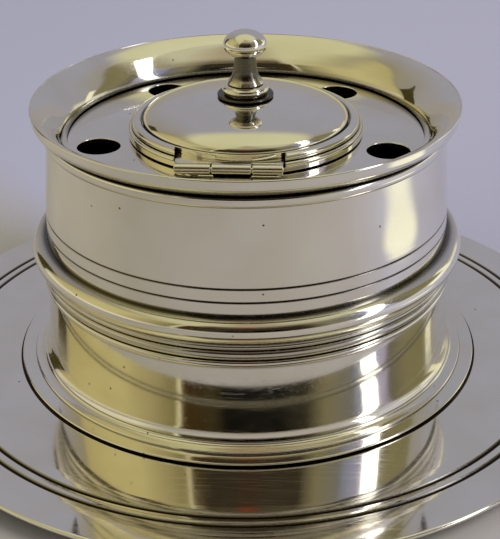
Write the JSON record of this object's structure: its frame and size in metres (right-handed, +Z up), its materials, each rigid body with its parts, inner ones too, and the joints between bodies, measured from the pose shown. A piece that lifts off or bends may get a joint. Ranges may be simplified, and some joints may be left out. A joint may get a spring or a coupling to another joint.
{
  "type": "capstan inkwell",
  "caption": "Round waisted silver inkwell on a broad flat base, with a sunk plate pierced for pens and a domed hinged lid over a glass liner.",
  "frame": {"origin": "centre of the baize's underside, where the drum's axis meets the table", "axes": "+Z up along the drum's axis; -Y towards the lid's hinge, the user's side; +X to the user's right"},
  "size_m": [0.15, 0.15, 0.0737],
  "materials": {
    "polished_silver": "hand-polished sterling silver with fine scratches and a little tarnish in the grooves",
    "liner_glass": "clear pressed glass with ground edges",
    "stained_hardwood": "turned and stained hardwood",
    "green_baize": "glued green wool baize",
    "brass": "plain turned brass"
  },
  "bodies": {
    "root": {"base_plate": "polished_silver", "foot_moulding": "polished_silver", "lower_drum": "polished_silver", "belt_moulding": "polished_silver", "upper_drum": "polished_silver", "lip_moulding": "polished_silver", "pen_plate": "polished_silver", "mouth_collar": "polished_silver", "hinge_knuckle_left": "polished_silver", "hinge_knuckle_right": "polished_silver", "hinge_pin": "polished_silver", "glass_liner": "liner_glass", "base_board": "stained_hardwood", "baize_pad": "green_baize"},
    "lid": {"lid_leaf": "polished_silver", "lid_moulding": "polished_silver", "lid_bezel": "polished_silver", "lid_dome": "polished_silver", "finial": "polished_silver", "finial_nut": "brass"}
  },
  "joints": [
    {"name": "lid_hinge", "type": "hinge", "parent": "root", "child": "lid", "pos_m": [-0.0018, -0.02365, 0.05388], "axis": [1, 0, 0], "range_deg": [0, 105]}
  ]
}
